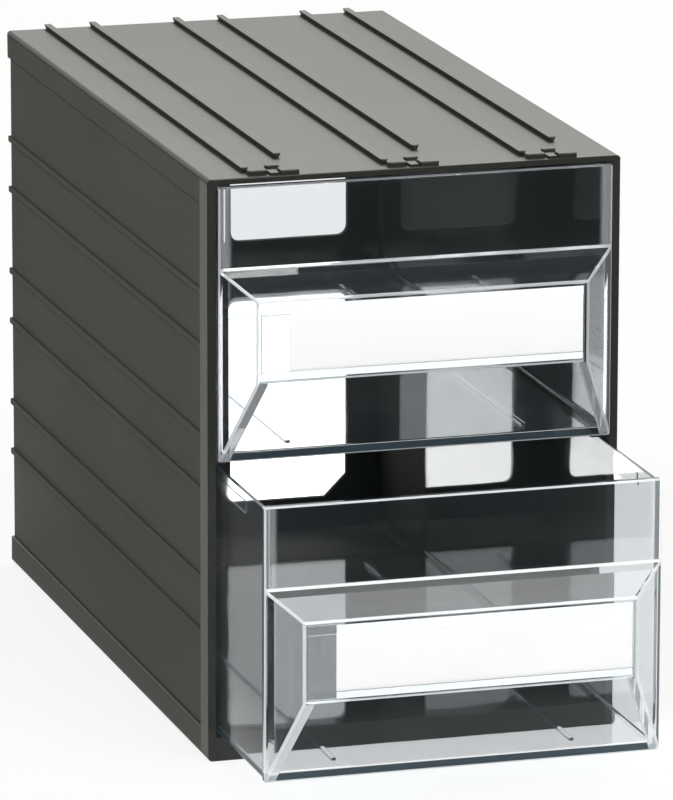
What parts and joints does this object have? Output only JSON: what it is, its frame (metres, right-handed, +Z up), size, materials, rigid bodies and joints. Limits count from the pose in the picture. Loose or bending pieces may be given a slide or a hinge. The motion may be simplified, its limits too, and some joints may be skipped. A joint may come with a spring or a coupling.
{
  "type": "two-drawer unit",
  "caption": "Dark moulded plastic cabinet with clear pull-out drawers one above the other, each with a full-width label handle; dovetail rails join it to the next unit.",
  "frame": {"origin": "centre of the case's base, on the surface that the unit stands on", "axes": "+Z up, -Y out of the drawers' fronts, +X to the right as seen from the front"},
  "size_m": [0.1166, 0.2706, 0.1634],
  "materials": {
    "case_plastic": "dark grey, fine moulded grain, satin",
    "clear_plastic": "clear with a faint blue tint, glossy",
    "label_paper": "plain white, uncoated"
  },
  "bodies": {
    "case": {"case": "case_plastic"},
    "upper_drawer": {"upper_drawer": "clear_plastic", "upper_label_card": "label_paper"},
    "lower_drawer": {"lower_drawer": "clear_plastic", "lower_label_card": "label_paper"}
  },
  "joints": [
    {"name": "upper_drawer_slide", "type": "slide", "parent": "case", "child": "upper_drawer", "axis": [0, -1, 0], "range_m": [0, 0.16]},
    {"name": "lower_drawer_slide", "type": "slide", "parent": "case", "child": "lower_drawer", "axis": [0, -1, 0], "range_m": [-0.044, 0.116]}
  ]
}
